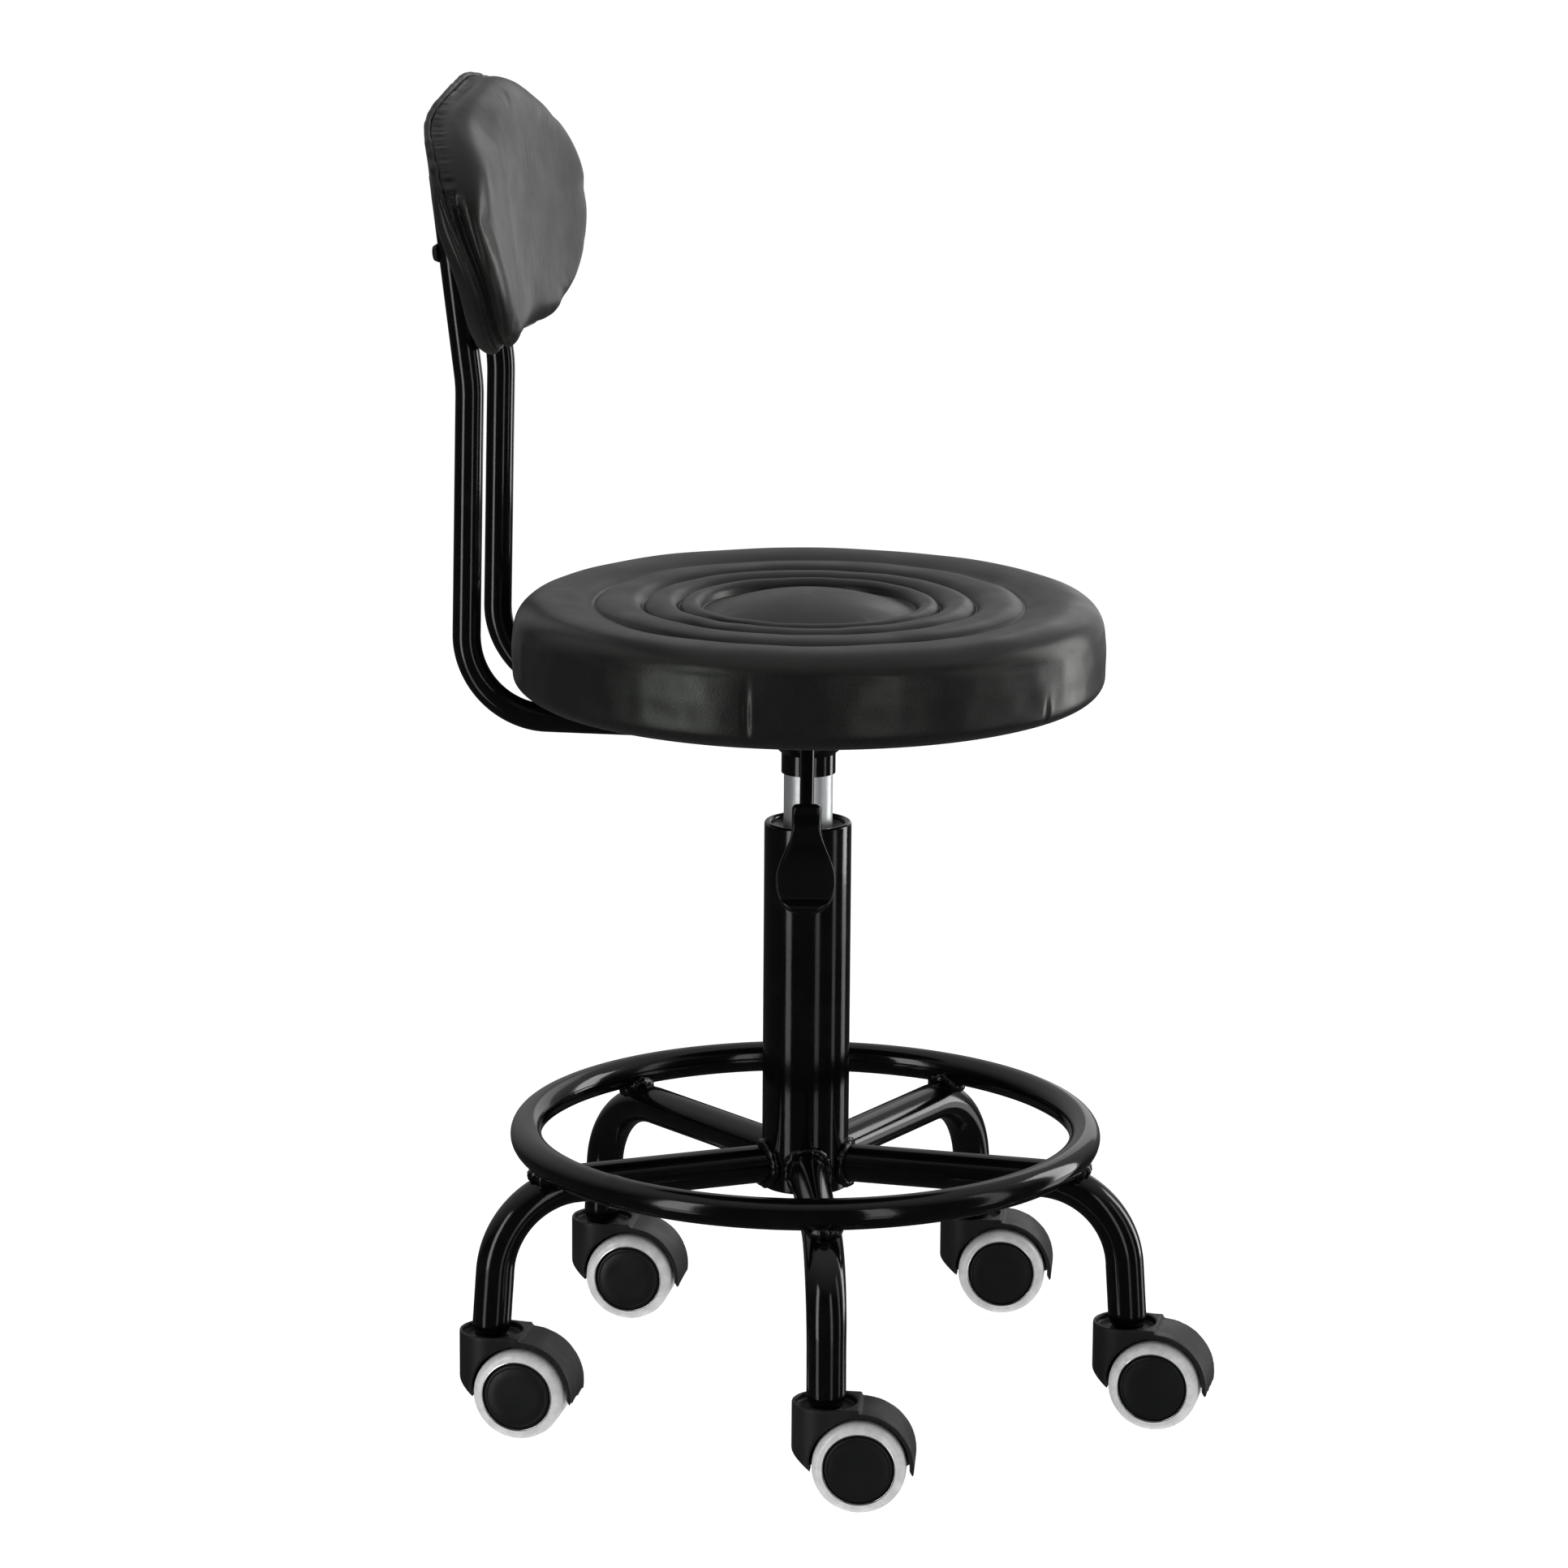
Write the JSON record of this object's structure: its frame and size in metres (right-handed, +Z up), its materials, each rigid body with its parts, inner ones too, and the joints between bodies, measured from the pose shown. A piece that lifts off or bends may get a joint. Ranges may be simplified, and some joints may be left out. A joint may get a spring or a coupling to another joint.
{
  "type": "adjustable swivel stool",
  "caption": "Round padded swivel stool on a gas lift, with a small kidney-shaped backrest, a foot ring and a caster base.",
  "frame": {"origin": "centre of the seat's top face, on the swivel axis, with the lift 20 mm above its lowest setting", "axes": "+Z up along the swivel axis; -Y is the stool's front, where the sitter faces; +Y is the backrest's side; +X is the sitter's left"},
  "size_m": [0.4081, 0.4494, 0.7636],
  "materials": {
    "black_paint": "gloss black enamel on steel tube",
    "black_plastic": "matte black moulded plastic",
    "bright_steel": "zinc-plated steel",
    "black_bolts": "blackened steel",
    "chrome": "polished chrome",
    "piston_alloy": "machined alloy",
    "stop_rubber": "black rubber",
    "plywood": "plain plywood",
    "cushion": "open-cell foam",
    "upholstery": "satin black synthetic leather",
    "wheel_plastic": "satin silver-grey plastic tread, black hub cap"
  },
  "bodies": {
    "base": {"column_tube": "black_paint", "column_bushing": "black_plastic", "column_end_cap": "black_plastic", "thrust_bearing": "bright_steel", "foot_ring": "black_paint", "leg_plugs": "black_plastic", "caster_stems": "bright_steel", "leg_1": "black_paint", "leg_2": "black_paint", "leg_3": "black_paint", "leg_4": "black_paint", "leg_5": "black_paint"},
    "swivel_rod": {"piston_rod": "chrome", "piston": "piston_alloy", "rod_clip": "bright_steel", "bump_stop": "stop_rubber"},
    "seat": {"gas_cylinder": "chrome", "cylinder_gland": "black_plastic", "taper_socket": "black_paint", "mounting_plate": "black_paint", "lever_pivot_pin": "bright_steel", "backrest_bracket": "black_paint", "seat_screws": "bright_steel", "seat_tee_nuts": "bright_steel", "seat_board": "plywood", "seat_foam": "cushion", "seat_cover": "upholstery", "backrest_tube_right": "black_paint", "backrest_tube_left": "black_paint", "backrest_tube_plugs": "black_plastic", "backrest_board": "plywood", "backrest_foam": "cushion", "backrest_cover": "upholstery", "backrest_bolts": "black_bolts", "backrest_tee_nuts": "bright_steel"},
    "release": {"release_pin": "bright_steel"},
    "lever": {"lever_rod": "black_paint", "lever_paddle": "black_plastic"},
    "caster_1": {"caster_1_hood": "black_plastic", "caster_1_axle": "bright_steel"},
    "caster_2": {"caster_2_hood": "black_plastic", "caster_2_axle": "bright_steel"},
    "caster_3": {"caster_3_hood": "black_plastic", "caster_3_axle": "bright_steel"},
    "caster_4": {"caster_4_hood": "black_plastic", "caster_4_axle": "bright_steel"},
    "caster_5": {"caster_5_hood": "black_plastic", "caster_5_axle": "bright_steel"},
    "wheel_1_right": {"caster_1_wheel_right": "wheel_plastic"},
    "wheel_1_left": {"caster_1_wheel_left": "wheel_plastic"},
    "wheel_2_right": {"caster_2_wheel_right": "wheel_plastic"},
    "wheel_2_left": {"caster_2_wheel_left": "wheel_plastic"},
    "wheel_3_right": {"caster_3_wheel_right": "wheel_plastic"},
    "wheel_3_left": {"caster_3_wheel_left": "wheel_plastic"},
    "wheel_4_right": {"caster_4_wheel_right": "wheel_plastic"},
    "wheel_4_left": {"caster_4_wheel_left": "wheel_plastic"},
    "wheel_5_right": {"caster_5_wheel_right": "wheel_plastic"},
    "wheel_5_left": {"caster_5_wheel_left": "wheel_plastic"}
  },
  "joints": [
    {"name": "seat_swivel", "type": "hinge", "parent": "base", "child": "swivel_rod", "pos_m": [0, 0, -0.341], "axis": [0, 0, 1], "continuous": true},
    {"name": "seat_height", "type": "slide", "parent": "swivel_rod", "child": "seat", "axis": [0, 0, 1], "range_m": [-0.02, 0.1]},
    {"name": "height_lever", "type": "hinge", "parent": "seat", "child": "lever", "pos_m": [-0.03173, -0.00418, -0.06995], "axis": [-0.1305, 0.9914, 0], "range_deg": [0, 5.4], "stiffness_Nm_per_rad": 4, "springref_deg": -2.86},
    {"name": "valve_button", "type": "slide", "parent": "seat", "child": "release", "axis": [0, 0, -1], "range_m": [0, 0.0031]},
    {"name": "caster_1_swivel", "type": "hinge", "parent": "base", "child": "caster_1", "pos_m": [-0.18683, -0.03971, -0.417], "axis": [0, 0, 1], "continuous": true},
    {"name": "caster_2_swivel", "type": "hinge", "parent": "base", "child": "caster_2", "pos_m": [-0.01997, -0.18995, -0.417], "axis": [0, 0, 1], "continuous": true},
    {"name": "caster_3_swivel", "type": "hinge", "parent": "base", "child": "caster_3", "pos_m": [0.17449, -0.07769, -0.417], "axis": [0, 0, 1], "continuous": true},
    {"name": "caster_4_swivel", "type": "hinge", "parent": "base", "child": "caster_4", "pos_m": [0.1278, 0.14194, -0.417], "axis": [0, 0, 1], "continuous": true},
    {"name": "caster_5_swivel", "type": "hinge", "parent": "base", "child": "caster_5", "pos_m": [-0.0955, 0.16541, -0.417], "axis": [0, 0, 1], "continuous": true},
    {"name": "wheel_1_right_spin", "type": "hinge", "parent": "caster_1", "child": "wheel_1_right", "pos_m": [-0.18515, -0.05884, -0.446], "axis": [0.9962, 0.0872, 0], "continuous": true},
    {"name": "wheel_1_left_spin", "type": "hinge", "parent": "caster_1", "child": "wheel_1_left", "pos_m": [-0.18515, -0.05884, -0.446], "axis": [0.9962, 0.0872, 0], "continuous": true},
    {"name": "wheel_2_right_spin", "type": "hinge", "parent": "caster_2", "child": "wheel_2_right", "pos_m": [-0.0213, -0.20911, -0.446], "axis": [0.9976, -0.0698, 0], "continuous": true},
    {"name": "wheel_2_left_spin", "type": "hinge", "parent": "caster_2", "child": "wheel_2_left", "pos_m": [-0.0213, -0.20911, -0.446], "axis": [0.9976, -0.0698, 0], "continuous": true},
    {"name": "wheel_3_right_spin", "type": "hinge", "parent": "caster_3", "child": "wheel_3_right", "pos_m": [0.17583, -0.09684, -0.446], "axis": [0.9976, 0.0698, 0], "continuous": true},
    {"name": "wheel_3_left_spin", "type": "hinge", "parent": "caster_3", "child": "wheel_3_left", "pos_m": [0.17583, -0.09684, -0.446], "axis": [0.9976, 0.0698, 0], "continuous": true},
    {"name": "wheel_4_right_spin", "type": "hinge", "parent": "caster_4", "child": "wheel_4_right", "pos_m": [0.12747, 0.12274, -0.446], "axis": [0.9998, -0.0175, 0], "continuous": true},
    {"name": "wheel_4_left_spin", "type": "hinge", "parent": "caster_4", "child": "wheel_4_left", "pos_m": [0.12747, 0.12274, -0.446], "axis": [0.9998, -0.0175, 0], "continuous": true},
    {"name": "wheel_5_right_spin", "type": "hinge", "parent": "caster_5", "child": "wheel_5_right", "pos_m": [-0.0965, 0.14624, -0.446], "axis": [0.9986, -0.0523, 0], "continuous": true},
    {"name": "wheel_5_left_spin", "type": "hinge", "parent": "caster_5", "child": "wheel_5_left", "pos_m": [-0.0965, 0.14624, -0.446], "axis": [0.9986, -0.0523, 0], "continuous": true}
  ],
  "couplings": [
    {"joint": "valve_button", "follows": "height_lever", "m_per_rad": 0.0324}
  ]
}
